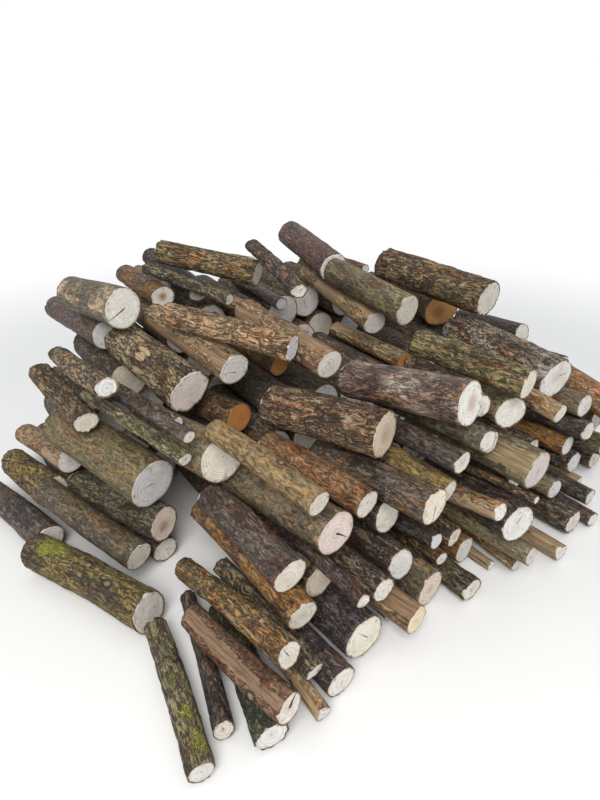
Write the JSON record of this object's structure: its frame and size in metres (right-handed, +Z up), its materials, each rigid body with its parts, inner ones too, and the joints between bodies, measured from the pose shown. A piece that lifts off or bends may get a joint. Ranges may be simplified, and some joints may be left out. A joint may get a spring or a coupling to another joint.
{
  "type": "heap of logs",
  "caption": "Loose heap of sawn firewood logs of mixed thickness and bark, thrown down side by side with their sawn ends to the front.",
  "frame": {"origin": "on the ground, below the middle of the heap's box", "axes": "+X along the front of the heap, +Y from the sawn front ends into the heap, +Z up"},
  "size_m": [2.7768, 2.1296, 1.0206],
  "materials": {
    "inner_wood": "rough bark and sawn ends, hidden inside the heap",
    "dark_bark": "wet dark bark, pale sawn ends",
    "furrowed_bark": "grey-brown furrowed bark, pale sawn ends",
    "mossy_bark": "bark under moss and lichen, pale sawn ends",
    "smooth_bark": "smooth grey-olive bark, pale sawn ends",
    "rusty_bark": "rust-brown mottled bark, pale sawn ends",
    "tan_bark": "sun-bleached, partly peeled wood, pale sawn ends"
  },
  "bodies": {
    "root": {"back_course_1": "inner_wood", "back_course_10": "inner_wood", "back_course_2": "inner_wood", "back_course_3": "inner_wood", "back_course_4": "inner_wood", "back_course_5": "inner_wood", "back_course_6": "inner_wood", "back_course_7": "inner_wood", "back_course_8": "inner_wood", "back_course_9": "inner_wood", "dark_logs_1": "dark_bark", "dark_logs_2": "dark_bark", "dark_logs_3": "dark_bark", "dark_logs_4": "dark_bark", "dark_logs_5": "dark_bark", "dark_logs_6": "dark_bark", "furrowed_logs_1": "furrowed_bark", "furrowed_logs_2": "furrowed_bark", "furrowed_logs_3": "furrowed_bark", "furrowed_logs_4": "furrowed_bark", "furrowed_logs_5": "furrowed_bark", "furrowed_logs_6": "furrowed_bark", "middle_course_1": "inner_wood", "middle_course_2": "inner_wood", "middle_course_3": "inner_wood", "middle_course_4": "inner_wood", "middle_course_5": "inner_wood", "middle_course_6": "inner_wood", "middle_course_7": "inner_wood", "middle_course_8": "inner_wood", "mossy_logs_1": "mossy_bark", "mossy_logs_2": "mossy_bark", "mossy_logs_3": "mossy_bark", "mossy_logs_4": "mossy_bark", "mossy_logs_5": "mossy_bark", "mossy_logs_6": "mossy_bark", "rusty_logs_1": "rusty_bark", "rusty_logs_2": "rusty_bark", "rusty_logs_3": "rusty_bark", "rusty_logs_4": "rusty_bark", "smooth_logs_1": "smooth_bark", "smooth_logs_2": "smooth_bark", "smooth_logs_3": "smooth_bark", "smooth_logs_4": "smooth_bark", "smooth_logs_5": "smooth_bark", "tan_logs_1": "tan_bark", "tan_logs_2": "tan_bark", "tan_logs_3": "tan_bark", "tan_logs_4": "tan_bark", "tan_logs_5": "tan_bark"}
  },
  "joints": []
}
